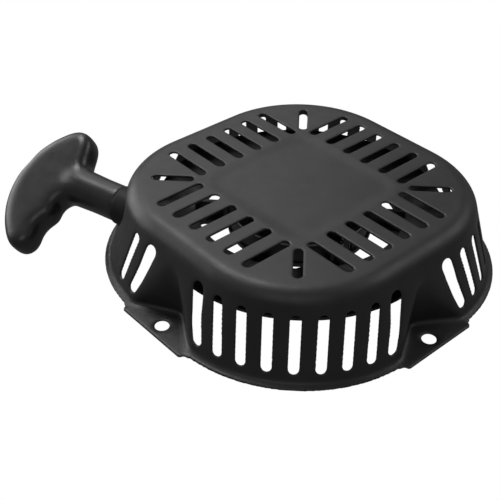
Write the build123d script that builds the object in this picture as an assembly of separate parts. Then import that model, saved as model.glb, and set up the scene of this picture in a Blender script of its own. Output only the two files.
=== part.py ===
from build123d import *
import os
from math import acos, atan2, cos, degrees, hypot, pi, radians, sin, sqrt, tan

os.makedirs("parts", exist_ok=True)

# Millimetres. +Z points away from the engine; the origin is the centre of the mounting plane.
# The cover is a rounded square seen from above: its lobes lie on the diagonals, its mounting
# ears on +X, -X, +Y and -Y. The handle leaves the lobe between -X and -Y.

# ---- driving dimensions: cover ----
HEIGHT = 48.7
SHEET = 1.5
SHOULDER_Z = 38.2
BASE_HALF = 102.1
BASE_RADIUS = 82.0
SHOULDER_HALF = 89.5
SHOULDER_RADIUS = 66.0
TOP_EDGE_RADIUS = 10.5
RIM_HALF = 104.6
RIM_RADIUS = 83.8

EAR_REACH = 108.0
EAR_HALF = 24.0
EAR_ROOT_HALF = 29.0
EAR_ROOT_REACH = 104.0
BOLT_CIRCLE = 200.0
BOLT_HOLE = 6.8

POCKET_DEPTH_BASE = 85.6
POCKET_DEPTH_TOP = 89.6
POCKET_TOP_Z = 39.0
POCKET_SLOPE = 0.6
POCKET_ROOT_RADIUS = 6.0
RIDGE_RADIUS = 4.0

PAD_HALF = 38.0
PAD_RADIUS = 10.0
PAD_DEPTH = 0.7
PAD_EASE = 2.5

# ---- driving dimensions: air slots ----
TOP_SLOT_PITCH = 14.0
TOP_SLOT_COUNT = 6
TOP_SLOT_INNER = 42.4
TOP_SLOT_OUTER = 73.0
TOP_SLOT_WIDTH = 5.2
CORNER_SLOT_INNER = 60.1
CORNER_SLOT_OUTER = 83.8
CORNER_SLOT_WIDTH = 4.9
WALL_SLOT_STEP = 10.9
WALL_SLOT_COUNT = 9
WALL_SLOT_BOTTOM = 6.7
WALL_SLOT_TOP = 37.4
WALL_SLOT_WIDTH = 5.4
WALL_SLOT_REACH = 8.0

# ---- driving dimensions: rope, reel and spring ----
ROPE = 5.4
ROPE_Z = 30.0
COIL_RADII = (64.5, 70.0)
COIL_LEVELS = (24.2, 30.0)
REEL_RADIUS = 82.0
REEL_BOTTOM = 19.2
REEL_TOP = 35.2
REEL_FLANGE = 2.0
DRUM_RADIUS = 61.5
DRUM_WALL = 2.0
WEB_BOTTOM = 21.6
WEB_TOP = 24.0
RIB_THICKNESS = 2.4
WINDOW_INNER = 41.2
WINDOW_OUTER = 57.5
WINDOW_COUNT = 6
WINDOW_SWEEP = 46.0
WINDOW_AZIMUTH = 14.0
BOSS_AZIMUTH = 104.0
BOSS_COUNT = 3
HUB_RADIUS = 12.0
HUB_BOTTOM = 14.0
CAVITY_RADIUS = 38.0
CAVITY_WALL = 2.0
SPRING_STRIP = 0.8
SPRING_BOTTOM = 24.4
SPRING_TOP = 34.6
SPRING_TURNS = 9
SPRING_OUTER = 36.6
SPRING_INNER = 9.0
COVER_TOP = 36.2
COVER_SCREW_CIRCLE = 41.5

# ---- driving dimensions: post, washers and centre screw ----
POST_RADIUS = 7.0
POST_SHOULDER_RADIUS = 10.0
POST_SHOULDER_BOTTOM = 36.8
POST_FOOT_RADIUS = 15.0
POST_FOOT_BOTTOM = 42.0
POST_BOTTOM = 9.4
RUNNING = 0.05
THRUST_BOTTOM = 12.6
GUIDE_BOTTOM = 10.8
GUIDE_TOP = 12.4
RETAINER_BOTTOM = 7.8
SCREW_RADIUS = 3.0
SCREW_HEAD_BOTTOM = 3.4
SCREW_HEX = 10.0

# ---- driving dimensions: pawls ----
PAWL_PIVOT = 31.0
PAWL_PIN_RADIUS = 3.0
PAWL_BOTTOM = 12.9
PAWL_TOP = 18.2
PAWL_LENGTH = 22.0
PAWL_TOE_IN = 9.8
PAWL_SWING = 30.0
PEG_REACH = 10.0
PEG_RADIUS = 2.0
GUIDE_LAG = 25.0
GUIDE_RADIUS = 22.0
GUIDE_EAR_RADIUS = 39.5

# ---- driving dimensions: rope guide and handle ----
PULL_AZIMUTH = 194.5
STEM_ROOT = (-77.6, -75.0, ROPE_Z)
COLLAR_RADIUS = 11.5
LIP_RADIUS = 13.0
GUIDE_BORE = 3.6
GUIDE_FACE = -4.3
GUIDE_INNER_END = -18.0
BEND_PLACE = -20.0
RUN_CLEARANCE = 30.0
STEM_RADIUS = 10.5
STEM_END = -4.0
STEM_BLEND = (27.0, 42.0)
GRIP_ROLL = 58.0
GRIP_BACK_CENTRE = (17.0, -9.5)
GRIP_BACK_RADIUS = 47.0
GRIP_HALF_THICKNESS = 8.5
GRIP_EDGE = 3.0
ROPE_BORE = 3.2
SEAT_START = 46.0
SEAT_RADIUS = 5.8
SEAT_THICKNESS = 1.6
KNOT_RADIUS = 5.0
KNOT_AZIMUTH = 120.0
KNOT_LEVEL = 29.4
CAP_RADIUS = 6.1
CAP_END = 63.0

pull = Vector(cos(radians(PULL_AZIMUTH)), sin(radians(PULL_AZIMUTH)), 0)
side = Vector(pull.Y, -pull.X, 0)
bar = Vector(0, 0, 1) * cos(radians(GRIP_ROLL)) + side * sin(radians(GRIP_ROLL))
stem_root = Vector(*STEM_ROOT)
pull_plane = Plane(origin=stem_root, x_dir=bar, z_dir=pull)


def save(name, shape):
    shape.label = name
    export_step(shape, f"parts/{name}.step")


def along_pull(start, end, radius):
    """A cylinder on the rope's line, from start to end measured outwards from the stem's end."""
    length = end - start
    return pull_plane * Pos(0, 0, start + length / 2) * Cylinder(radius, length)


def ring(outer, inner, bottom, top):
    """A flat ring about the Z axis."""
    middle = (bottom + top) / 2
    height = top - bottom
    return Pos(0, 0, middle) * (Cylinder(outer, height) - Cylinder(inner, height))


def disc(radius, bottom, top):
    return Pos(0, 0, (bottom + top) / 2) * Cylinder(radius, top - bottom)


def rounded_square(half, radius, z):
    return Pos(0, 0, z) * RectangleRounded(2 * half, 2 * half, radius)


# ---- cover ----
def at_height(shoulder_value, base_value, z):
    """A wall dimension at height z, straight from the base through the shoulder."""
    return base_value + (shoulder_value - base_value) * z / SHOULDER_Z


def dome(skin):
    """The cover's outside as a solid, moved inwards by skin."""
    top = HEIGHT - skin
    sections = []
    for z in (0, top):
        half = at_height(SHOULDER_HALF, BASE_HALF, z) - skin
        radius = at_height(SHOULDER_RADIUS, BASE_RADIUS, z) - skin
        sections.append(rounded_square(half, radius, z))
    body = loft(sections, ruled=True)
    top_edges = body.edges().group_by(Axis.Z)[-1]
    return fillet(top_edges, TOP_EDGE_RADIUS - skin)


def pocket_outline(depth, skin, z):
    """A rounded V that opens outwards along +X."""
    far = 140.0
    reach = (far - depth) / POCKET_SLOPE
    tip = depth - skin * hypot(1, POCKET_SLOPE)
    with BuildSketch(Plane.XY.offset(z)) as sketch:
        with BuildLine():
            Polyline((far, reach), (tip, 0), (far, -reach), (far + 10, 0), close=True)
        make_face()
        fillet(sketch.vertices().sort_by(Axis.X)[0], POCKET_ROOT_RADIUS + skin)
    return sketch.sketch


def pockets(skin):
    """The four recesses above the mounting ears, each a V that deepens towards the base."""
    low = -2.0
    fall = (POCKET_DEPTH_TOP - POCKET_DEPTH_BASE) / POCKET_TOP_Z
    low_depth = POCKET_DEPTH_BASE + fall * low
    cutter = loft(
        [
            pocket_outline(low_depth, skin, low),
            pocket_outline(POCKET_DEPTH_TOP, skin, POCKET_TOP_Z),
        ],
        ruled=True,
    )
    return [Rot(0, 0, 90 * quarter) * cutter for quarter in range(4)]


def pad_recess(drop):
    """The shallow square recess in the middle of the top, with soft sloped sides."""
    upper = rounded_square(PAD_HALF + PAD_EASE, PAD_RADIUS + PAD_EASE, HEIGHT - drop)
    lower = rounded_square(PAD_HALF - PAD_EASE, PAD_RADIUS - PAD_EASE, HEIGHT - PAD_DEPTH - drop)
    return loft([upper, lower], ruled=True)


def ear_outline():
    with BuildSketch() as sketch:
        with BuildLine():
            Polyline(
                (70, EAR_ROOT_HALF),
                (EAR_ROOT_REACH, EAR_ROOT_HALF),
                (EAR_REACH, EAR_HALF),
                (EAR_REACH, -EAR_HALF),
                (EAR_ROOT_REACH, -EAR_ROOT_HALF),
                (70, -EAR_ROOT_HALF),
                close=True,
            )
        make_face()
    return sketch.sketch


def rim_plate():
    """The flat rim with its four ears and their bolt holes."""
    outline = rounded_square(RIM_HALF, RIM_RADIUS, 0)
    for quarter in range(4):
        outline += Rot(0, 0, 90 * quarter) * ear_outline()
    return extrude(outline, SHEET)


def top_slots():
    length = TOP_SLOT_OUTER - TOP_SLOT_INNER
    middle = (TOP_SLOT_OUTER + TOP_SLOT_INNER) / 2
    corner_length = CORNER_SLOT_OUTER - CORNER_SLOT_INNER
    corner_middle = (CORNER_SLOT_OUTER + CORNER_SLOT_INNER) / 2
    cuts = []
    for quarter in range(4):
        for index in range(TOP_SLOT_COUNT):
            across = (index - (TOP_SLOT_COUNT - 1) / 2) * TOP_SLOT_PITCH
            slot = Pos(middle, across) * SlotOverall(length, TOP_SLOT_WIDTH)
            cuts.append(Rot(0, 0, 90 * quarter) * slot)
        slot = Pos(corner_middle, 0) * SlotOverall(corner_length, CORNER_SLOT_WIDTH)
        cuts.append(Rot(0, 0, 90 * quarter + 45) * slot)
    return [extrude(Pos(0, 0, HEIGHT - 8) * cut, 12) for cut in cuts]


def lobe_point(across, z):
    """The wall's outside at height z, that far across from the middle of the lobe on +X."""
    radius = at_height(SHOULDER_RADIUS, BASE_RADIUS, z)
    centre = (at_height(SHOULDER_HALF, BASE_HALF, z) - radius) * sqrt(2)
    return Vector(centre + sqrt(radius**2 - across**2), across, z)


def wall_slots():
    """Slots round the lobes, each upright seen along its lobe, spaced evenly round the corner.
    The handle's lobe keeps only the two at each end."""
    middle = (WALL_SLOT_TOP + WALL_SLOT_BOTTOM) / 2
    radius = at_height(SHOULDER_RADIUS, BASE_RADIUS, middle)
    outer_two = (0, 1, WALL_SLOT_COUNT - 2, WALL_SLOT_COUNT - 1)
    cuts = []
    for index in range(WALL_SLOT_COUNT):
        turn = radians((index - (WALL_SLOT_COUNT - 1) / 2) * WALL_SLOT_STEP)
        across = radius * sin(turn)
        rise = lobe_point(across, WALL_SLOT_TOP) - lobe_point(across, WALL_SLOT_BOTTOM)
        outward = Vector(-sin(turn), cos(turn), 0).cross(rise)
        face = Plane(lobe_point(across, middle), x_dir=rise, z_dir=outward)
        slot = face * SlotOverall(rise.length, WALL_SLOT_WIDTH)
        cut = extrude(slot, WALL_SLOT_REACH, both=True)
        for lobe_azimuth in (45, 135, 225, 315):
            if lobe_azimuth != 225 or index in outer_two:
                cuts.append(Rot(0, 0, lobe_azimuth) * cut)
    return cuts


def soften_ridges(shape, radius):
    """Round the edges where each pocket leaves the lobes' wall."""
    ridges = []
    for edge in shape.edges():
        middle = edge.center()
        across = min(abs(middle.X), abs(middle.Y))
        reach = max(abs(middle.X), abs(middle.Y))
        rises = edge.bounding_box().size.Z > 1.5
        if rises and across < 18 and reach > 89.7:
            ridges.append(edge)
    return fillet(ridges, radius)


def starter_case():
    """The pressed cover: its outside less the same shape moved inwards by one sheet."""
    outside = dome(0)
    inside = dome(SHEET)
    for cutter in pockets(0):
        outside -= cutter
    for cutter in pockets(SHEET):
        inside -= cutter
    outside = soften_ridges(outside, RIDGE_RADIUS)
    outside -= pad_recess(0)
    inside -= pad_recess(SHEET)
    shell = outside + rim_plate() - inside
    for cut in top_slots() + wall_slots():
        shell -= cut
    for quarter in range(4):
        hole = Pos(BOLT_CIRCLE / 2, 0, 0) * Cylinder(BOLT_HOLE / 2, 10)
        shell -= Rot(0, 0, 90 * quarter) * hole
    shell -= along_pull(-40, 20, COLLAR_RADIUS)
    return shell, inside


def rope_guide(inside):
    """The nylon bush that the rope leaves through, with a collar outside and a lip inside."""
    bush = along_pull(GUIDE_INNER_END, GUIDE_FACE, COLLAR_RADIUS)
    bush += along_pull(GUIDE_INNER_END, GUIDE_FACE, LIP_RADIUS) & inside
    bush -= along_pull(GUIDE_INNER_END - 5, 5, GUIDE_BORE)
    for place, turn in ((GUIDE_FACE - 1.5, 0), (GUIDE_INNER_END + 1.5, 180)):
        mouth = Rot(turn, 0, 0) * Cone(GUIDE_BORE, GUIDE_BORE + 3, 3.02)
        bush -= pull_plane * Pos(0, 0, place) * mouth
    return bush


# ---- post, washers and centre screw ----
def centre_post():
    """The shouldered post under the cover, tapped for the centre screw and slotted for the spring."""
    ceiling = HEIGHT - PAD_DEPTH - SHEET
    post = disc(POST_FOOT_RADIUS, POST_FOOT_BOTTOM, ceiling)
    post += disc(POST_SHOULDER_RADIUS, POST_SHOULDER_BOTTOM, POST_FOOT_BOTTOM)
    post += disc(POST_RADIUS, POST_BOTTOM, POST_SHOULDER_BOTTOM)
    post -= disc(SCREW_RADIUS, POST_BOTTOM - 1, WEB_TOP)
    slot_height = SPRING_TOP - SPRING_BOTTOM + 1
    slot_middle = (SPRING_TOP + SPRING_BOTTOM) / 2
    return post - Pos(POST_RADIUS - 1.5, 0, slot_middle) * Box(5, 2, slot_height)


def thrust_washer():
    return ring(HUB_RADIUS, POST_RADIUS + 0.2, THRUST_BOTTOM, HUB_BOTTOM - 0.1)


def friction_spring():
    """A dished spring washer that keeps the ratchet guide dragging on the fixed post."""
    height = GUIDE_BOTTOM - POST_BOTTOM - 0.05
    with BuildSketch(Plane.XZ) as section:
        with BuildLine():
            Polyline(
                (POST_RADIUS + 0.4, POST_BOTTOM + 0.02),
                (POST_RADIUS + 1.4, POST_BOTTOM + 0.02),
                (HUB_RADIUS + 2, POST_BOTTOM + height - 0.7),
                (HUB_RADIUS + 2, POST_BOTTOM + height),
                (HUB_RADIUS + 1, POST_BOTTOM + height),
                (POST_RADIUS + 0.4, POST_BOTTOM + 0.72),
                close=True,
            )
        make_face()
    return revolve(section.sketch, Axis.Z)


def retaining_washer():
    return ring(HUB_RADIUS + 2, SCREW_RADIUS + 0.2, RETAINER_BOTTOM, POST_BOTTOM)


def centre_screw():
    head = extrude(
        Pos(0, 0, SCREW_HEAD_BOTTOM) * RegularPolygon(SCREW_HEX / 2, 6, major_radius=False),
        RETAINER_BOTTOM - 1.2 - SCREW_HEAD_BOTTOM,
    )
    head = chamfer(head.edges().group_by(Axis.Z)[0], 0.6)
    flange = disc(SCREW_HEX / 2 + 1.6, RETAINER_BOTTOM - 1.2, RETAINER_BOTTOM)
    return head + flange + disc(SCREW_RADIUS - 0.02, RETAINER_BOTTOM, WEB_TOP - 1)


# ---- reel ----
def window(inner, outer, bottom, top):
    """A curved window through the reel's web, with rounded corners."""
    half = WINDOW_SWEEP / 2
    with BuildSketch(Plane.XY.offset(bottom)) as sketch:
        with BuildLine():
            CenterArc((0, 0), inner, -half, WINDOW_SWEEP)
            CenterArc((0, 0), outer, -half, WINDOW_SWEEP)
            for angle in (-half, half):
                out = Vector(cos(radians(angle)), sin(radians(angle)))
                Line(out * inner, out * outer)
        make_face()
        fillet(sketch.vertices(), 3)
    return extrude(sketch.sketch, top - bottom)


def reel_body():
    """The reel's turned section: hub, web, spring cavity wall, drum and the groove's two flanges."""
    bore = POST_RADIUS + RUNNING
    cavity_out = CAVITY_RADIUS + CAVITY_WALL
    drum_in = DRUM_RADIUS - DRUM_WALL
    section = [
        (bore, HUB_BOTTOM),
        (HUB_RADIUS, HUB_BOTTOM),
        (HUB_RADIUS, WEB_BOTTOM),
        (drum_in, WEB_BOTTOM),
        (drum_in, REEL_BOTTOM),
        (REEL_RADIUS, REEL_BOTTOM),
        (REEL_RADIUS, REEL_BOTTOM + REEL_FLANGE),
        (DRUM_RADIUS, REEL_BOTTOM + REEL_FLANGE),
        (DRUM_RADIUS, REEL_TOP - REEL_FLANGE),
        (REEL_RADIUS, REEL_TOP - REEL_FLANGE),
        (REEL_RADIUS, REEL_TOP),
        (drum_in, REEL_TOP),
        (drum_in, WEB_TOP),
        (cavity_out, WEB_TOP),
        (cavity_out, REEL_TOP),
        (CAVITY_RADIUS, REEL_TOP),
        (CAVITY_RADIUS, WEB_TOP),
        (bore, WEB_TOP),
    ]
    with BuildSketch(Plane.XZ) as sketch:
        with BuildLine():
            Polyline(*section, close=True)
        make_face()
    return revolve(sketch.sketch, Axis.Z)


def boss_turn(index):
    """The turn that takes +X to one of the evenly spaced screw bosses."""
    return Rot(0, 0, BOSS_AZIMUTH + index * 360 / BOSS_COUNT)


def reel():
    """The grooved reel with its windows, ribs, screw bosses and the holes for pins and rope."""
    rib_start = CAVITY_RADIUS + CAVITY_WALL - 0.5
    rib_length = DRUM_RADIUS - DRUM_WALL + 0.5 - rib_start
    rib_height = REEL_TOP - 1.5 - WEB_BOTTOM
    rib = Pos(rib_start + rib_length / 2, 0, WEB_BOTTOM + rib_height / 2)
    rib *= Box(rib_length, RIB_THICKNESS, rib_height)
    boss = Pos(COVER_SCREW_CIRCLE, 0, 0) * disc(3.6, WEB_BOTTOM, REEL_TOP)
    step = 360 / WINDOW_COUNT
    added = [Rot(0, 0, WINDOW_AZIMUTH + (index + 0.5) * step) * rib for index in range(WINDOW_COUNT)]
    added += [boss_turn(index) * boss for index in range(BOSS_COUNT)]
    opening = window(WINDOW_INNER, WINDOW_OUTER, WEB_BOTTOM - 1, WEB_TOP + 1)
    cuts = [Rot(0, 0, WINDOW_AZIMUTH + index * step) * opening for index in range(WINDOW_COUNT)]
    screw_hole = Pos(COVER_SCREW_CIRCLE, 0, 0) * disc(1.3, WEB_TOP + 1, REEL_TOP + 1)
    cuts += [boss_turn(index) * screw_hole for index in range(BOSS_COUNT)]
    pin_hole = Pos(PAWL_PIVOT, 0, 0) * disc(PAWL_PIN_RADIUS, WEB_BOTTOM - 2, WEB_TOP + 2)
    cuts += [Rot(0, 0, turn) * pin_hole for turn in (0, 180)]
    middle = (SPRING_TOP + SPRING_BOTTOM) / 2
    cuts.append(Pos(CAVITY_RADIUS + 1, 0, middle) * Box(5, 3, SPRING_TOP - SPRING_BOTTOM + 0.6))
    rope_hole = Pos(DRUM_RADIUS, 0, KNOT_LEVEL) * Rot(0, 90, 0) * Cylinder(ROPE / 2 + 0.3, 12)
    cuts.append(Rot(0, 0, KNOT_AZIMUTH) * rope_hole)
    return reel_body() + added - cuts


def rope_coil():
    """The wound rope as its four turns, two beside each other in each of two layers."""
    turns = []
    for radius in COIL_RADII:
        for level in COIL_LEVELS:
            turns.append(Pos(0, 0, level) * Torus(radius, ROPE / 2))
    return Compound(children=turns)


def reel_knot():
    """The knot that holds the rope's inner end behind the drum wall."""
    reach = DRUM_RADIUS - DRUM_WALL - KNOT_RADIUS - 0.2
    return Rot(0, 0, KNOT_AZIMUTH) * Pos(reach, 0, KNOT_LEVEL) * Sphere(KNOT_RADIUS)


def spiral_point(turn):
    """A point on the spring's centre line after that many turns."""
    radius = SPRING_INNER + (SPRING_OUTER - SPRING_INNER) * turn / SPRING_TURNS
    angle = 2 * pi * turn
    return radius, angle


def main_spring():
    """The flat recoil spring: a spiral strip with a tab at each end."""
    steps = 12 * SPRING_TURNS
    edges = []
    for offset in (-SPRING_STRIP / 2, SPRING_STRIP / 2):
        points = []
        for step in range(steps + 1):
            radius, angle = spiral_point(step / 12)
            reach = radius + offset
            points.append((reach * cos(angle), reach * sin(angle)))
        edges.append(points)
    with BuildSketch(Plane.XY.offset(SPRING_BOTTOM)) as sketch:
        with BuildLine():
            inner = Spline(*edges[0])
            outer = Spline(*edges[1])
            Line(inner @ 0, outer @ 0)
            Line(inner @ 1, outer @ 1)
        make_face()
        for start, end in ((POST_RADIUS - 3, SPRING_INNER), (SPRING_OUTER, CAVITY_RADIUS + 1.6)):
            with Locations(((start + end) / 2, 0)):
                Rectangle(end - start, SPRING_STRIP)
    return extrude(sketch.sketch, SPRING_TOP - SPRING_BOTTOM)


def spring_cover():
    """The steel plate that keeps the spring in the reel."""
    plate = ring(CAVITY_RADIUS + CAVITY_WALL + 0.5, POST_SHOULDER_RADIUS + 1, REEL_TOP, COVER_TOP)
    for index in range(BOSS_COUNT):
        place = boss_turn(index) * Pos(COVER_SCREW_CIRCLE, 0, 0)
        plate += place * disc(4, REEL_TOP, COVER_TOP)
        plate -= place * disc(1.5, REEL_TOP - 1, COVER_TOP + 1)
    return plate


def cover_screws():
    screws = []
    for index in range(BOSS_COUNT):
        place = boss_turn(index) * Pos(COVER_SCREW_CIRCLE, 0, 0)
        screw = disc(2.7, COVER_TOP, COVER_TOP + 1.6) + disc(1.28, COVER_TOP - 8, COVER_TOP)
        screw -= Pos(0, 0, COVER_TOP + 1.3) * Box(3.6, 0.8, 1.2)
        screw -= Pos(0, 0, COVER_TOP + 1.3) * Box(0.8, 3.6, 1.2)
        screws.append(place * screw)
    return Compound(children=screws)


# ---- ratchet ----
def pawl_pins():
    pins = []
    for turn in (0, 180):
        pin = disc(PAWL_PIN_RADIUS - 0.02, PAWL_BOTTOM - 0.4, WEB_TOP)
        pins.append(Rot(0, 0, turn) * Pos(PAWL_PIVOT, 0, 0) * pin)
    return Compound(children=pins)


def arm_direction(swing):
    """The pawl arm's direction, as an angle from +X, once it has swung out by that much."""
    return -90 - PAWL_TOE_IN + swing


def peg_place(swing):
    angle = radians(arm_direction(swing))
    return Vector(PAWL_PIVOT + PEG_REACH * cos(angle), PEG_REACH * sin(angle))


def pawl(turn):
    """A steel pawl on its pin, with a peg below that runs in the ratchet guide."""
    with BuildSketch(Plane.XY.offset(PAWL_BOTTOM)) as sketch:
        Circle(6.4)
        with BuildLine():
            Polyline((0, 6.2), (14, 5.0), (PAWL_LENGTH, 4.6), (PAWL_LENGTH - 2.5, -2.6), (2, -6.0), close=True)
        make_face()
    arm = extrude(sketch.sketch, PAWL_TOP - PAWL_BOTTOM)
    arm = Rot(0, 0, arm_direction(0)) * arm
    arm = Pos(PAWL_PIVOT, 0, 0) * arm
    arm -= Pos(PAWL_PIVOT, 0, 0) * disc(PAWL_PIN_RADIUS + RUNNING - 0.02, 0, 30)
    peg = peg_place(0)
    arm += Pos(peg.X, peg.Y, 0) * disc(PEG_RADIUS, GUIDE_BOTTOM - 0.6, PAWL_BOTTOM)
    return Rot(0, 0, turn) * arm


def peg_track(step_count):
    """Where the peg lies in the guide's own frame as the guide lags behind the reel."""
    track = []
    for step in range(step_count + 1):
        share = step / step_count
        place = peg_place(PAWL_SWING * share)
        track.append(place.rotate(Axis.Z, -GUIDE_LAG * share))
    return track


def ratchet_guide():
    """The plate that stays behind as the reel turns, and throws the pawls out by their pegs."""
    width = PEG_RADIUS + 0.4
    track = peg_track(5)
    plate = Circle(GUIDE_RADIUS)
    slots = Sketch()
    for turn in (0, 180):
        for start, end in zip(track, track[1:]):
            run = end - start
            middle = (start + end) * 0.5
            heading = degrees(atan2(run.Y, run.X))
            link = Rot(0, 0, turn) * Pos(middle.X, middle.Y) * Rot(0, 0, heading)
            plate += link * SlotCenterToCenter(run.length, 2 * width + 7)
            slots += link * SlotCenterToCenter(run.length, 2 * width)
        inner = Rot(0, 0, turn) * Pos(track[0].X * 0.7, track[0].Y * 0.7)
        plate += inner * Circle(9)
    plate -= slots
    plate -= Circle(POST_RADIUS + RUNNING)
    return extrude(Pos(0, 0, GUIDE_BOTTOM) * plate, GUIDE_TOP - GUIDE_BOTTOM)


def pawl_springs():
    """Two small torsion springs that pull the pawls back in."""
    springs = []
    wire = 0.45
    for turn in (0, 180):
        coils = [Pos(0, 0, PAWL_TOP + 0.8 + level) * Torus(4.4, wire) for level in (0, 1.0, 2.0)]
        place = Rot(0, 0, turn) * Pos(PAWL_PIVOT, 0, 0)
        springs.extend(place * coil for coil in coils)
    return Compound(children=springs)


# ---- rope run and handle ----
def rope_tangent(outer):
    """Where the rope leaves its outermost turn on the way to that point."""
    reach = hypot(outer.X, outer.Y)
    around = atan2(outer.Y, outer.X) + acos(COIL_RADII[1] / reach)
    return Vector(COIL_RADII[1] * cos(around), COIL_RADII[1] * sin(around), ROPE_Z)


def rope_tube(points, bend=None):
    """A plain rope through the points, with one tangent bend where there are three of them."""
    path = FilletPolyline(*points, radius=bend) if bend else Line(*points)
    start = Plane(origin=path @ 0, z_dir=path % 0)
    tube = sweep(start * Circle(ROPE / 2), path=path)
    section = pi * ROPE * ROPE / 4
    print("rope length", round(path.length, 1), "bend radius", bend)
    print("rope volume over section times length", round(tube.volume / (section * path.length), 4))
    return tube


def rope_run():
    """The rope from beside the reel's outermost turn, over a slight bend, to the bush's face."""
    corner = stem_root + pull * BEND_PLACE
    tangent = rope_tangent(corner)
    heading = (corner - tangent).normalized()
    start = tangent + heading * RUN_CLEARANCE
    half_turn = radians(heading.get_angle(pull)) / 2
    short_run = abs(BEND_PLACE - GUIDE_FACE)
    bend = 0.45 * short_run / tan(half_turn)
    return rope_tube([start, corner, stem_root + pull * GUIDE_FACE], bend)


def handle_rope():
    """The rope inside the handle's stem, up to its knot."""
    start = stem_root + pull * (STEM_END + 0.3)
    return rope_tube([start, stem_root + pull * (SEAT_START + SEAT_THICKNESS)])


def grip_outline():
    """The grip seen square to its flat side: x runs out along the rope, y along the crossbar."""
    points = [(24.5, 9.0), (27.5, 14.5), (29.5, 21.5), (33.5, 28.0), (40.5, 30.2), (47.5, 26.4)]
    for degree in (40, 20, 0, -20, -40):
        angle = radians(degree)
        points.append((GRIP_BACK_CENTRE[0] + GRIP_BACK_RADIUS * cos(angle),
                       GRIP_BACK_CENTRE[1] + GRIP_BACK_RADIUS * sin(angle)))
    points += [(46.0, -46.6), (39.5, -49.8), (33.2, -47.2), (31.4, -41.0), (33.2, -34.5)]
    points += [(31.6, -28.0), (28.6, -23.0), (30.2, -17.0), (26.0, -10.0)]
    with BuildSketch() as sketch:
        with BuildLine():
            Spline(*points, periodic=True)
        make_face()
    return sketch.sketch


def handle_grip():
    """The moulded crossbar and stem, bored for the rope, with a pocket in its back for the knot."""
    side_plane = Plane(origin=stem_root, x_dir=pull, z_dir=pull.cross(bar))
    flat = Pos(0, 0, -GRIP_HALF_THICKNESS) * grip_outline()
    blade = extrude(flat, 2 * GRIP_HALF_THICKNESS)
    levels = blade.edges().group_by(Axis.Z)
    blade = fillet(levels[0] + levels[-1], GRIP_EDGE)
    grip = side_plane * blade
    blend_start, blend_end = STEM_BLEND
    grip += along_pull(STEM_END, blend_start, STEM_RADIUS)
    blend = Cone(STEM_RADIUS, GRIP_HALF_THICKNESS - 2, blend_end - blend_start)
    grip += pull_plane * Pos(0, 0, (blend_start + blend_end) / 2) * blend
    grip -= along_pull(STEM_END - 1, SEAT_START + 1, ROPE_BORE)
    grip -= along_pull(SEAT_START, 90, CAP_RADIUS)
    return grip


def rope_seat():
    """The steel washer that the knot bears on."""
    seat = along_pull(SEAT_START, SEAT_START + SEAT_THICKNESS, SEAT_RADIUS)
    return seat - along_pull(SEAT_START - 1, SEAT_START + 3, ROPE / 2)


def handle_knot():
    middle = SEAT_START + SEAT_THICKNESS + KNOT_RADIUS
    return pull_plane * Pos(0, 0, middle) * Sphere(KNOT_RADIUS)


def handle_cap():
    """The plug that closes the pocket, flush with the grip's back."""
    start = SEAT_START + SEAT_THICKNESS + 2 * KNOT_RADIUS + 0.4
    return along_pull(start, CAP_END, CAP_RADIUS)


case, case_inside = starter_case()
save("starter_case", case)
save("rope_guide", rope_guide(case_inside))
save("centre_post", centre_post())
save("thrust_washer", thrust_washer())
save("friction_spring", friction_spring())
save("retaining_washer", retaining_washer())
save("centre_screw", centre_screw())
save("reel", reel())
save("rope_coil", rope_coil())
save("reel_knot", reel_knot())
save("main_spring", main_spring())
save("spring_cover", spring_cover())
save("cover_screws", cover_screws())
save("pawl_pins", pawl_pins())
save("pawl_a", pawl(0))
save("pawl_b", pawl(180))
save("pawl_springs", pawl_springs())
save("ratchet_guide", ratchet_guide())
save("rope_run", rope_run())
save("handle_rope", handle_rope())
save("handle_grip", handle_grip())
save("rope_seat", rope_seat())
save("handle_knot", handle_knot())
save("handle_cap", handle_cap())
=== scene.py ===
import math

import bpy
import numpy as np
from mathutils import Matrix, Vector


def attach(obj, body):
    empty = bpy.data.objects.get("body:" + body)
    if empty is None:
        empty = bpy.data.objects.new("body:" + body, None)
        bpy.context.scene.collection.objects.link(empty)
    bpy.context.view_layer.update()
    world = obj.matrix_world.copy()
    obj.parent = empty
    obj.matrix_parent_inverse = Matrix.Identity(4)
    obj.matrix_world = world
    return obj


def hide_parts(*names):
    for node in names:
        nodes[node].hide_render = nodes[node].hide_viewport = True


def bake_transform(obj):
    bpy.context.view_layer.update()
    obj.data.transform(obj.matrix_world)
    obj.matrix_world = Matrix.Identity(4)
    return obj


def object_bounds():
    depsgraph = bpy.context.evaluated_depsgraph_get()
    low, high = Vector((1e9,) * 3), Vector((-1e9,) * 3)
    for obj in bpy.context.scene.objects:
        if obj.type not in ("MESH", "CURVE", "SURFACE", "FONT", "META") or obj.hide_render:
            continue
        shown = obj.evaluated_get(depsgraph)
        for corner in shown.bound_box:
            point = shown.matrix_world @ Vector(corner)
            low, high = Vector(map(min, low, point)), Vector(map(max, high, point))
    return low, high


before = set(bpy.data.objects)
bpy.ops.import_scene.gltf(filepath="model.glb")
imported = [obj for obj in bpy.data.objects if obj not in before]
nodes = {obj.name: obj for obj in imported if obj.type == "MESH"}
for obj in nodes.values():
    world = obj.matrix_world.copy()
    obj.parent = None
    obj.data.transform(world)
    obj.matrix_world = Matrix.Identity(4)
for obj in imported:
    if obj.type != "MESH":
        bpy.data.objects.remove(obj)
cad_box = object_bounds()
MM = 0.001

# The rope's line, as the CAD has it: the stem's root and the direction of the pull.
PULL_AZIMUTH = math.radians(194.5)
STEM_ROOT = Vector((-77.6, -75.0, 30.0)) * MM
PULL = Vector((math.cos(PULL_AZIMUTH), math.sin(PULL_AZIMUTH), 0))
ROPE_RADIUS = 2.7 * MM
COIL_RADIUS = 70.0 * MM
PICK = 3.8 * MM

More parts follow.
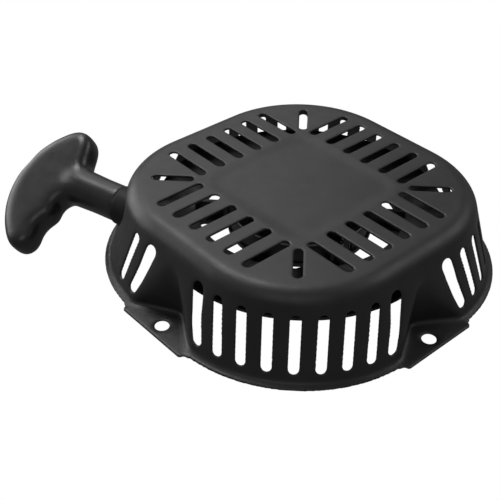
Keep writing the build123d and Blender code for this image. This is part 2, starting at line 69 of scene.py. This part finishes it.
# The cover's outline seen from above, as the CAD has it.
RIM_HALF = 104.6 * MM
RIM_RADIUS = 83.8 * MM
EAR_REACH = 108.0 * MM
EAR_ROOT_HALF = 29.0 * MM
EAR_SLOPE = 0.8

# How far the bush's flange and the stem's root are pushed towards the cover.
SEATED = 3.0 * MM


# ---------------------------------------------------------------- materials
def new_material(name):
    mat = bpy.data.materials.new(name)
    mat.use_nodes = True
    tree = mat.node_tree
    tree.nodes.clear()
    out = tree.nodes.new("ShaderNodeOutputMaterial")
    bsdf = tree.nodes.new("ShaderNodeBsdfPrincipled")
    tree.links.new(bsdf.outputs["BSDF"], out.inputs["Surface"])
    return mat, tree, bsdf


def noise(tree, scale, detail=2.0, roughness=0.5, stretch=None):
    coords = tree.nodes.new("ShaderNodeTexCoord")
    tex = tree.nodes.new("ShaderNodeTexNoise")
    tex.inputs["Scale"].default_value = scale
    tex.inputs["Detail"].default_value = detail
    tex.inputs["Roughness"].default_value = roughness
    if stretch:
        mapping = tree.nodes.new("ShaderNodeMapping")
        mapping.inputs["Scale"].default_value = stretch
        tree.links.new(coords.outputs["Object"], mapping.inputs["Vector"])
        tree.links.new(mapping.outputs["Vector"], tex.inputs["Vector"])
    else:
        tree.links.new(coords.outputs["Object"], tex.inputs["Vector"])
    return tex.outputs["Fac"]


def spread(tree, value, low, high, start=0.3, end=0.7):
    node = tree.nodes.new("ShaderNodeMapRange")
    node.inputs["From Min"].default_value = start
    node.inputs["From Max"].default_value = end
    node.inputs["To Min"].default_value = low
    node.inputs["To Max"].default_value = high
    tree.links.new(value, node.inputs["Value"])
    return node.outputs["Result"]


def two_tone(tree, factor, dark, light, start=0.35, end=0.65):
    ramp = tree.nodes.new("ShaderNodeValToRGB")
    ramp.color_ramp.elements[0].position = start
    ramp.color_ramp.elements[0].color = (*dark, 1)
    ramp.color_ramp.elements[1].position = end
    ramp.color_ramp.elements[1].color = (*light, 1)
    tree.links.new(factor, ramp.inputs["Fac"])
    return ramp.outputs["Color"]


def bump(tree, bsdf, height, distance, strength=1.0, under=None):
    node = tree.nodes.new("ShaderNodeBump")
    node.inputs["Strength"].default_value = strength
    node.inputs["Distance"].default_value = distance
    tree.links.new(height, node.inputs["Height"])
    if under is not None:
        tree.links.new(under, node.inputs["Normal"])
    tree.links.new(node.outputs["Normal"], bsdf.inputs["Normal"])
    return node.outputs["Normal"]


def finish_black(
    name, dark, light, rough, grain, depth, specular=0.5, ripple=None, edge_wear_and_highlight=None
):
    """A dark moulded or painted surface: cloudy tone, uneven sheen, fine grain, and sharp edges
    lightened in colour, partly as rubbed wear and partly as a painted edge highlight.
    """
    mat, tree, bsdf = new_material(name)
    colour = two_tone(tree, noise(tree, 45, 3), dark, light)
    if edge_wear_and_highlight:
        # Sharp edges are lightened in colour: partly rubbed wear, partly a painted edge
        # highlight.
        edges = tree.nodes.new("ShaderNodeNewGeometry").outputs["Pointiness"]
        edge_wear_and_highlight_mask = tree.nodes.new("ShaderNodeMath")
        edge_wear_and_highlight_mask.operation = "MULTIPLY"
        tree.links.new(spread(tree, edges, 0, 1, 0.53, 0.60), edge_wear_and_highlight_mask.inputs[0])
        tree.links.new(spread(tree, noise(tree, 300, 4, 0.7), 0.2, 1), edge_wear_and_highlight_mask.inputs[1])
        mix = tree.nodes.new("ShaderNodeMix")
        mix.data_type = "RGBA"
        tree.links.new(edge_wear_and_highlight_mask.outputs[0], mix.inputs[0])
        tree.links.new(colour, mix.inputs[6])
        mix.inputs[7].default_value = (*edge_wear_and_highlight, 1)
        colour = mix.outputs[2]
    tree.links.new(colour, bsdf.inputs["Base Color"])
    sheen = spread(tree, noise(tree, 120, 4, 0.6), *rough)
    tree.links.new(sheen, bsdf.inputs["Roughness"])
    bsdf.inputs["Specular IOR Level"].default_value = specular
    under = None
    if ripple:
        under = bump(tree, bsdf, noise(tree, ripple[0], 1), ripple[1])
    bump(tree, bsdf, noise(tree, grain, 2, 0.6), depth, under=under)
    return mat


def finish_metal(name, dark, light, rough, stretch):
    """Bare or plated metal: mottled tone, with fine lines drawn out by stretch."""
    mat, tree, bsdf = new_material(name)
    bsdf.inputs["Metallic"].default_value = 1.0
    tree.links.new(
        two_tone(tree, noise(tree, 160, 4, 0.65), dark, light), bsdf.inputs["Base Color"]
    )
    lines = noise(tree, 900, 3, 0.6, stretch)
    tree.links.new(spread(tree, lines, *rough), bsdf.inputs["Roughness"])
    bump(tree, bsdf, lines, 0.02 * MM)
    return mat


cover_paint = finish_black(
    "cover_paint_satin",
    (0.0115, 0.0117, 0.012),
    (0.0165, 0.0168, 0.0172),
    (0.40, 0.50),
    2600,
    0.035 * MM,
    ripple=(420, 0.03 * MM),
    # Edge colour: rubbed wear plus a painted edge highlight.
    edge_wear_and_highlight=(0.045, 0.045, 0.046),
)
grip_plastic = finish_black(
    "grip_moulded",
    (0.012, 0.0122, 0.0125),
    (0.018, 0.0182, 0.0185),
    (0.28, 0.36),
    1800,
    0.03 * MM,
    ripple=(260, 0.03 * MM),
    # Edge colour: rubbed wear plus a painted edge highlight.
    edge_wear_and_highlight=(0.035, 0.035, 0.036),
)
guide_nylon = finish_black(
    "guide_moulded",
    (0.004, 0.004, 0.004),
    (0.007, 0.007, 0.007),
    (0.5, 0.65),
    1500,
    0.03 * MM,
    specular=0.25,
)
reel_plastic = finish_black(
    "reel_moulded", (0.010, 0.010, 0.0105), (0.017, 0.017, 0.0175), (0.38, 0.5), 1200, 0.03 * MM
)
spring_steel = finish_metal(
    "spring_blued", (0.10, 0.11, 0.13), (0.22, 0.23, 0.25), (0.28, 0.42), (1, 1, 12)
)
zinc_steel = finish_metal(
    "zinc_plated", (0.42, 0.43, 0.44), (0.60, 0.60, 0.58), (0.25, 0.42), (1, 1, 4)
)
hard_steel = finish_metal(
    "hardened_steel", (0.20, 0.20, 0.205), (0.34, 0.335, 0.33), (0.30, 0.46), (6, 1, 1)
)
screw_black = finish_metal(
    "screw_oxide", (0.018, 0.018, 0.02), (0.04, 0.04, 0.042), (0.32, 0.5), (1, 1, 6)
)


def math_node(tree, operation, a, b=None):
    node = tree.nodes.new("ShaderNodeMath")
    node.operation = operation
    for index, item in enumerate((a, b)):
        if isinstance(item, (int, float)):
            node.inputs[index].default_value = item
        elif item is not None:
            tree.links.new(item, node.inputs[index])
    return node.outputs[0]


def braid(name, straight=False):
    """Two families of strands crossing round the rope. The coil is laid out by its own map, round
    and along; the drawn rope is straight, so its pattern comes from its place about the line."""
    mat, tree, bsdf = new_material(name)
    split = tree.nodes.new("ShaderNodeSeparateXYZ")
    if straight:
        coords = tree.nodes.new("ShaderNodeTexCoord")
        mapping = tree.nodes.new("ShaderNodeMapping")
        mapping.vector_type = "TEXTURE"
        mapping.inputs["Location"].default_value = STEM_ROOT
        mapping.inputs["Rotation"].default_value = (0, 0, PULL_AZIMUTH)
        tree.links.new(coords.outputs["Object"], mapping.inputs["Vector"])
        tree.links.new(mapping.outputs["Vector"], split.inputs["Vector"])
        turn = math_node(tree, "ARCTAN2", split.outputs["Z"], split.outputs["Y"])
        around = math_node(tree, "MULTIPLY", turn, 8)
        along = math_node(tree, "MULTIPLY", split.outputs["X"], 2 * math.pi / PICK)
    else:
        layout = tree.nodes.new("ShaderNodeUVMap")
        layout.uv_map = "rope"
        tree.links.new(layout.outputs["UV"], split.inputs["Vector"])
        around = math_node(tree, "MULTIPLY", split.outputs["X"], 8 * 2 * math.pi)
        along = math_node(tree, "MULTIPLY", split.outputs["Y"], 2 * math.pi)
    one = math_node(tree, "SINE", math_node(tree, "ADD", around, along))
    two = math_node(tree, "SINE", math_node(tree, "SUBTRACT", around, along))
    weave = math_node(tree, "MULTIPLY", one, two)
    ridge = math_node(tree, "MULTIPLY", math_node(tree, "ADD", one, two), 0.4)
    height = math_node(tree, "MAXIMUM", weave, ridge)
    fibres = noise(tree, 3500, 2)
    relief_and_groove_shade = math_node(tree, "ADD", height, math_node(tree, "MULTIPLY", fibres, 0.5))
    # The colour follows the strands' relief: darker in the grooves between strands, which is
    # painted shade, and lighter on their crowns.
    colour = two_tone(tree, relief_and_groove_shade, (0.008, 0.008, 0.009), (0.04, 0.04, 0.042), 0.1, 0.9)
    tree.links.new(colour, bsdf.inputs["Base Color"])
    tree.links.new(spread(tree, fibres, 0.6, 0.8), bsdf.inputs["Roughness"])
    bsdf.inputs["Sheen Weight"].default_value = 0.15
    bump(tree, bsdf, relief_and_groove_shade, 0.25 * MM)
    return mat


rope_fibre = braid("rope_braid")
drawn_fibre = braid("rope_braid_drawn", straight=True)

NODE_MATERIALS = {
    "starter_case": cover_paint,
    "handle_grip": grip_plastic,
    "handle_cap": grip_plastic,
    "rope_guide": guide_nylon,
    "ratchet_guide": guide_nylon,
    "thrust_washer": guide_nylon,
    "reel": reel_plastic,
    "rope_coil": rope_fibre,
    "rope_run": rope_fibre,
    "handle_rope": rope_fibre,
    "reel_knot": rope_fibre,
    "handle_knot": rope_fibre,
    "main_spring": spring_steel,
    "friction_spring": spring_steel,
    "pawl_springs": spring_steel,
    "centre_post": zinc_steel,
    "retaining_washer": zinc_steel,
    "spring_cover": zinc_steel,
    "rope_seat": zinc_steel,
    "pawl_a": hard_steel,
    "pawl_b": hard_steel,
    "pawl_pins": hard_steel,
    "centre_screw": screw_black,
    "cover_screws": screw_black,
}
for node_name, obj in nodes.items():
    chosen = NODE_MATERIALS[node_name]
    if not obj.material_slots:
        obj.data.materials.append(chosen)
    for slot in obj.material_slots:
        slot.material = chosen


# ---------------------------------------------------------------- mesh helpers
def remeshed(node_name, name, voxel):
    """A copy of a CAD node as an even skin of quads, ready to be softened."""
    obj = bpy.data.objects.new(name, nodes[node_name].data.copy())
    bpy.context.scene.collection.objects.link(obj)
    modifier = obj.modifiers.new("skin", "REMESH")
    modifier.mode = "VOXEL"
    modifier.voxel_size = voxel
    graph = bpy.context.evaluated_depsgraph_get()
    mesh = bpy.data.meshes.new_from_object(obj.evaluated_get(graph))
    obj.modifiers.clear()
    obj.data = mesh
    mesh.name = name
    mesh.polygons.foreach_set("use_smooth", [True] * len(mesh.polygons))
    return obj


def read_points(mesh):
    flat = np.empty(len(mesh.vertices) * 3)
    mesh.vertices.foreach_get("co", flat)
    return flat.reshape(-1, 3)


def write_points(mesh, points):
    mesh.vertices.foreach_set("co", points.ravel())
    mesh.update()


def soften(obj, weight, passes):
    """Evens out each point towards its neighbours, more where weight is more."""
    mesh = obj.data
    points = read_points(mesh)
    flat = np.empty(len(mesh.edges) * 2, np.int64)
    mesh.edges.foreach_get("vertices", flat)
    edges = flat.reshape(-1, 2)
    a, b = edges[:, 0], edges[:, 1]
    count = np.bincount(a, minlength=len(points)) + np.bincount(b, minlength=len(points))
    pull = np.asarray(weight)[:, None]
    for _ in range(passes):
        total = np.stack(
            [
                np.bincount(a, points[b, i], len(points))
                + np.bincount(b, points[a, i], len(points))
                for i in range(3)
            ],
            axis=1,
        )
        points = points + 0.5 * pull * (total / count[:, None] - points)
    write_points(mesh, points)


def between(value, low, high):
    """0 below low, 1 above high, smooth between them."""
    t = np.clip((value - low) / (high - low), 0, 1)
    return t * t * (3 - 2 * t)


def give(obj, material, body, slot, *replaced):
    obj.data.materials.clear()
    obj.data.materials.append(material)
    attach(obj, body)
    if replaced:
        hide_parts(*replaced)
    return obj


def rim_inset(points):
    """How far inside the rim's outline each point lies, seen from above."""
    x, y = np.abs(points[:, 0]), np.abs(points[:, 1])
    qx, qy = x - (RIM_HALF - RIM_RADIUS), y - (RIM_HALF - RIM_RADIUS)
    corner = np.hypot(np.maximum(qx, 0), np.maximum(qy, 0)) + np.minimum(np.maximum(qx, qy), 0)
    square = RIM_RADIUS - corner
    reach, across = np.maximum(x, y), np.minimum(x, y)
    ear = np.minimum(EAR_REACH - reach, (EAR_ROOT_HALF - across) * EAR_SLOPE)
    return np.maximum(square, ear)


# ---------------------------------------------------------------- pressed cover
cover = remeshed("starter_case", "starter_case_shell", 0.6 * MM)
points = read_points(cover.data)
soften(cover, np.ones(len(points)), 3)
low_down = 1 - between(points[:, 2], 3.0 * MM, 5.6 * MM)
flare = low_down * between(rim_inset(points), 0.9 * MM, 2.2 * MM)
soften(cover, flare, 45)
across = np.minimum(np.abs(points[:, 0]), np.abs(points[:, 1]))
reach = np.maximum(np.abs(points[:, 0]), np.abs(points[:, 1]))
pad = (1 - between(reach, 40.5 * MM, 42.0 * MM)) * between(points[:, 2], 44 * MM, 45 * MM)
soften(cover, pad, 60)
pocket = (1 - between(across, 22 * MM, 27 * MM)) * between(reach, 80 * MM, 83 * MM)
pocket *= between(points[:, 2], 3 * MM, 6 * MM) * (1 - between(points[:, 2], 38 * MM, 41 * MM))
soften(cover, pocket, 60)
give(cover, cover_paint, "housing", "cover_paint", "starter_case")


# ---------------------------------------------------------------- moulded bush and grip
def swell(obj, amount):
    """Moves each point out along its normal, to make up for what softening takes off."""
    mesh = obj.data
    normals = np.empty(len(mesh.vertices) * 3)
    mesh.vertices.foreach_get("normal", normals)
    write_points(mesh, read_points(mesh) + normals.reshape(-1, 3) * np.asarray(amount)[:, None])


def along_pull(points):
    """How far out along the rope's line each point lies from the stem's root."""
    return (points - np.array(STEM_ROOT)) @ np.array(PULL)


def slide(obj, amount):
    """Moves each point inwards along the rope's line, and says where they end up."""
    points = read_points(obj.data) - np.asarray(amount)[:, None] * np.array(PULL)
    write_points(obj.data, points)
    return points


guide = remeshed("rope_guide", "rope_guide_moulded", 0.5 * MM)
points = read_points(guide.data)
soften(guide, np.ones(len(points)), 4)
slide(guide, SEATED * between(along_pull(points), -13 * MM, -7 * MM))
give(guide, guide_nylon, "housing", "guide_nylon", "rope_guide")

grip = remeshed("handle_grip", "handle_grip_moulded", 0.7 * MM)
points = read_points(grip.data)
points = slide(grip, SEATED * (1 - between(along_pull(points), 2 * MM, 16 * MM)))
blade = between(along_pull(points), 6 * MM, 24 * MM)
swell(grip, (0.2 + 0.9 * blade) * MM)
soften(grip, 0.12 + 0.88 * blade, 110)
give(grip, grip_plastic, "handle", "grip_plastic", "handle_grip")

plug = remeshed("handle_cap", "handle_plug", 0.5 * MM)
plug.data.transform(Matrix.Translation(PULL * -1.6 * MM))
points = read_points(plug.data)
soften(plug, np.ones(len(points)), 12)
give(plug, grip_plastic, "handle", "grip_plastic", "handle_cap")


# ---------------------------------------------------------------- rope
def tube(name, path, radius, sides=16):
    """A round rope along the path's points, with its map going round and along in picks."""
    path = [Vector(p) for p in path]
    last = len(path) - 1
    ahead = [
        (path[min(i + 1, last)] - path[max(i - 1, 0)]).normalized() for i in range(len(path))
    ]
    verts, faces, layout = [], [], []
    travelled = 0.0
    lengths = []
    for i, point in enumerate(path):
        if i:
            travelled += (point - path[i - 1]).length
        lengths.append(travelled / PICK)
        flat = ahead[i].cross(Vector((0, 0, 1))).normalized()
        rise = flat.cross(ahead[i])
        for k in range(sides):
            angle = 2 * math.pi * k / sides
            verts.append(point + (flat * math.cos(angle) + rise * math.sin(angle)) * radius)
    for i in range(len(path) - 1):
        for k in range(sides):
            j = (k + 1) % sides
            faces.append((i * sides + k, i * sides + j, (i + 1) * sides + j, (i + 1) * sides + k))
            u = k / sides, (k + 1) / sides
            v = lengths[i], lengths[i + 1]
            layout += [(u[0], v[0]), (u[1], v[0]), (u[1], v[1]), (u[0], v[1])]
    for first, order in ((0, 1), ((len(path) - 1) * sides, -1)):
        faces.append(tuple(first + k for k in range(sides))[::-order])
        layout += [(0.0, 0.0)] * sides
    mesh = bpy.data.meshes.new(name)
    mesh.from_pydata(verts, [], faces)
    uv = mesh.uv_layers.new(name="rope")
    uv.data.foreach_set("uv", np.array(layout).ravel())
    mesh.polygons.foreach_set("use_smooth", [True] * len(mesh.polygons))
    obj = bpy.data.objects.new(name, mesh)
    bpy.context.scene.collection.objects.link(obj)
    return obj


corner = STEM_ROOT - PULL * 20 * MM
reach = math.hypot(corner.x, corner.y)
leave = math.atan2(corner.y, corner.x) + math.acos(COIL_RADIUS / reach)
tangent = Vector((COIL_RADIUS * math.cos(leave), COIL_RADIUS * math.sin(leave), STEM_ROOT.z))

turns = [(64.5, 24.2), (64.5, 30.0), (70.0, 24.2), (70.0, 30.0)]
coil_path = []
STEPS = 240
for index, (radius, level) in enumerate(turns):
    for step in range(STEPS):
        share = step / STEPS
        if index + 1 < len(turns):
            over = min(max((share - 0.94) / 0.06, 0), 1)
            over = over * over * (3 - 2 * over)
            r = radius + (turns[index + 1][0] - radius) * over
            z = level + (turns[index + 1][1] - level) * over
        else:
            r, z = radius, level
        angle = leave - 2 * math.pi * (share - 1)
        coil_path.append((r * MM * math.cos(angle), r * MM * math.sin(angle), z * MM))
coil_path.append(tuple(tangent))
coil = tube("rope_wound", coil_path, ROPE_RADIUS)
give(coil, rope_fibre, "reel", "rope_fibre", "rope_coil")


def eased(a, b, c, samples):
    """Points from a to c round the corner b."""
    shares = [i / samples for i in range(samples + 1)]
    return [a * (1 - t) ** 2 + b * 2 * t * (1 - t) + c * t * t for t in shares]


heading = (corner - tangent).normalized()
near, far = corner - heading * 9 * MM, corner + PULL * 9 * MM
drawn_path = [tangent + (near - tangent) * i / 30 for i in range(30)]
drawn_path += eased(near, corner, far, 16)
stop = STEM_ROOT + PULL * 47.0 * MM
stretch = (stop - far).length
drawn_path += [far + PULL * stretch * i / 240 for i in range(1, 241)]
drawn = tube("rope_drawn", drawn_path, ROPE_RADIUS)
drawn.data.materials.append(drawn_fibre)
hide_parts("rope_run", "handle_rope")
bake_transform(drawn)

# ---------------------------------------------------------------- camera
AZIMUTH = math.radians(48.187)
ELEVATION = math.radians(37.535)
ROLL = math.radians(0.653)
right = Vector((math.cos(AZIMUTH), math.sin(AZIMUTH), 0))
back = Vector(
    (
        math.sin(AZIMUTH) * math.cos(ELEVATION),
        -math.cos(AZIMUTH) * math.cos(ELEVATION),
        math.sin(ELEVATION),
    )
)
up = back.cross(right)
camera_x = right * math.cos(ROLL) + up * math.sin(ROLL)
camera_y = up * math.cos(ROLL) - right * math.sin(ROLL)
camera_data = bpy.data.cameras.new("camera")
camera_data.lens = 67.507
camera_data.sensor_width = 36
camera_data.clip_start = 0.01
camera_data.clip_end = 100
camera = bpy.data.objects.new("camera", camera_data)
camera.matrix_world = Matrix.Translation((0.307917, -0.313139, 0.337943)) @ Matrix(
    (camera_x, camera_y, back)
).transposed().to_4x4()
bpy.context.scene.collection.objects.link(camera)
bpy.context.scene.camera = camera

# ---------------------------------------------------------------- floor and light
away = Vector((-math.sin(AZIMUTH), math.cos(AZIMUTH), 0))


def glow(name, level):
    mat = bpy.data.materials.new(name)
    mat.use_nodes = True
    tree = mat.node_tree
    tree.nodes.clear()
    out = tree.nodes.new("ShaderNodeOutputMaterial")
    emission = tree.nodes.new("ShaderNodeEmission")
    emission.inputs["Color"].default_value = (1, 1, 1, 1)
    emission.inputs["Strength"].default_value = level
    tree.links.new(emission.outputs[0], out.inputs["Surface"])
    return mat


FLOOR_GAP = 0.2 * MM
low = min(cad_box[0][2], cad_box[1][2])


def backdrop(radius, height, rings, turns):
    """A floor that curves up into a wall all round, seen by the camera alone."""
    profile = [(0.0, 0.0), (0.5, 0.0), (1.0, 0.0)]
    profile += [
        (1.0 + 0.9 * math.sin(a), 0.9 - 0.9 * math.cos(a))
        for a in [math.pi / 2 * i / rings for i in range(1, rings + 1)]
    ]
    profile += [(1.9, height / radius)]
    verts = [(0, 0, low - FLOOR_GAP)]
    faces = []
    for r, z in profile[1:]:
        for k in range(turns):
            angle = 2 * math.pi * k / turns
            x, y = radius * r * math.cos(angle), radius * r * math.sin(angle)
            verts.append((x, y, low - FLOOR_GAP + radius * z))
    for k in range(turns):
        faces.append((0, 1 + k, 1 + (k + 1) % turns))
    for ring in range(len(profile) - 2):
        base = 1 + ring * turns
        for k in range(turns):
            j = (k + 1) % turns
            faces.append((base + k, base + turns + k, base + turns + j, base + j))
    mesh = bpy.data.meshes.new("backdrop")
    mesh.from_pydata(verts, [], faces)
    mesh.polygons.foreach_set("use_smooth", [True] * len(mesh.polygons))
    obj = bpy.data.objects.new("backdrop", mesh)
    bpy.context.scene.collection.objects.link(obj)
    mesh.materials.append(glow("backdrop_white", 1.0))
    obj.visible_diffuse = False
    obj.visible_glossy = False
    obj.visible_transmission = False
    obj.visible_shadow = False


backdrop(3.0, 12.0, 8, 48)


def softbox(name, at, size, power, target=(0, 0, 0.03)):
    data = bpy.data.lights.new(name, "AREA")
    data.shape = "RECTANGLE"
    data.size, data.size_y = size
    data.energy = power
    obj = bpy.data.objects.new(name, data)
    obj.location = at
    direction = Vector(target) - Vector(at)
    obj.rotation_euler = direction.to_track_quat("-Z", "Y").to_euler()
    obj.visible_camera = False
    bpy.context.scene.collection.objects.link(obj)


softbox("light_back", away * 0.95 - right * 0.45 + Vector((0, 0, 0.85)), (1.5, 0.8), 3.8)
softbox("light_top", Vector((-0.58, 0.05, 1.15)), (0.5, 0.4), 6.0)
softbox("light_left", away * 0.55 - right * 1.0 + Vector((0, 0, 0.35)), (0.9, 0.7), 6.0)
softbox("light_front", -away * 1.2 - right * 0.3 + Vector((0, 0, 1.2)), (1.2, 0.8), 3.0)
softbox("light_right", away * 0.3 + right * 1.0 + Vector((0, 0, 0.9)), (0.8, 0.6), 3.2)

world = bpy.data.worlds.new("studio")
bpy.context.scene.world = world
world.use_nodes = True
world.node_tree.nodes["Background"].inputs["Color"].default_value = (1, 1, 1, 1)
world.node_tree.nodes["Background"].inputs["Strength"].default_value = 0.17
bpy.context.scene.view_settings.view_transform = "Standard"
